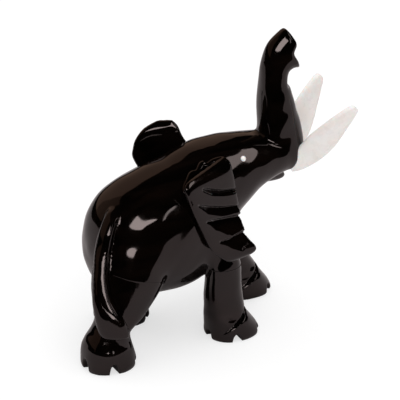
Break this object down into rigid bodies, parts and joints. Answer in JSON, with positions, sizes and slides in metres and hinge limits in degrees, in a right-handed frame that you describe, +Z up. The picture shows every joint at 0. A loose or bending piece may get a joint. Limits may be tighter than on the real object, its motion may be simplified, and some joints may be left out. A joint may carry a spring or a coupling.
{
  "type": "carved elephant figurine",
  "caption": "Polished dark wood elephant in mid stride with its trunk raised, broad ears, long pale tusks and small pale peg eyes",
  "frame": {"origin": "on the ground plane under the middle of the bounding box", "axes": "+Z up; the elephant faces -Y; its left side is +X and its right side is -X"},
  "size_m": [0.1056, 0.2448, 0.2434],
  "materials": {
    "ebony": "near-black wood, high polish",
    "bone": "smooth off-white bone or bone substitute, satin"
  },
  "bodies": {
    "root": {"body": "ebony", "leg_front_right": "ebony", "leg_front_left": "ebony", "leg_hind_right": "ebony", "leg_hind_left": "ebony", "ear_right": "ebony", "ear_left": "ebony", "tusk_right": "bone", "tusk_left": "bone", "eye_right": "bone", "eye_left": "bone"}
  },
  "joints": []
}
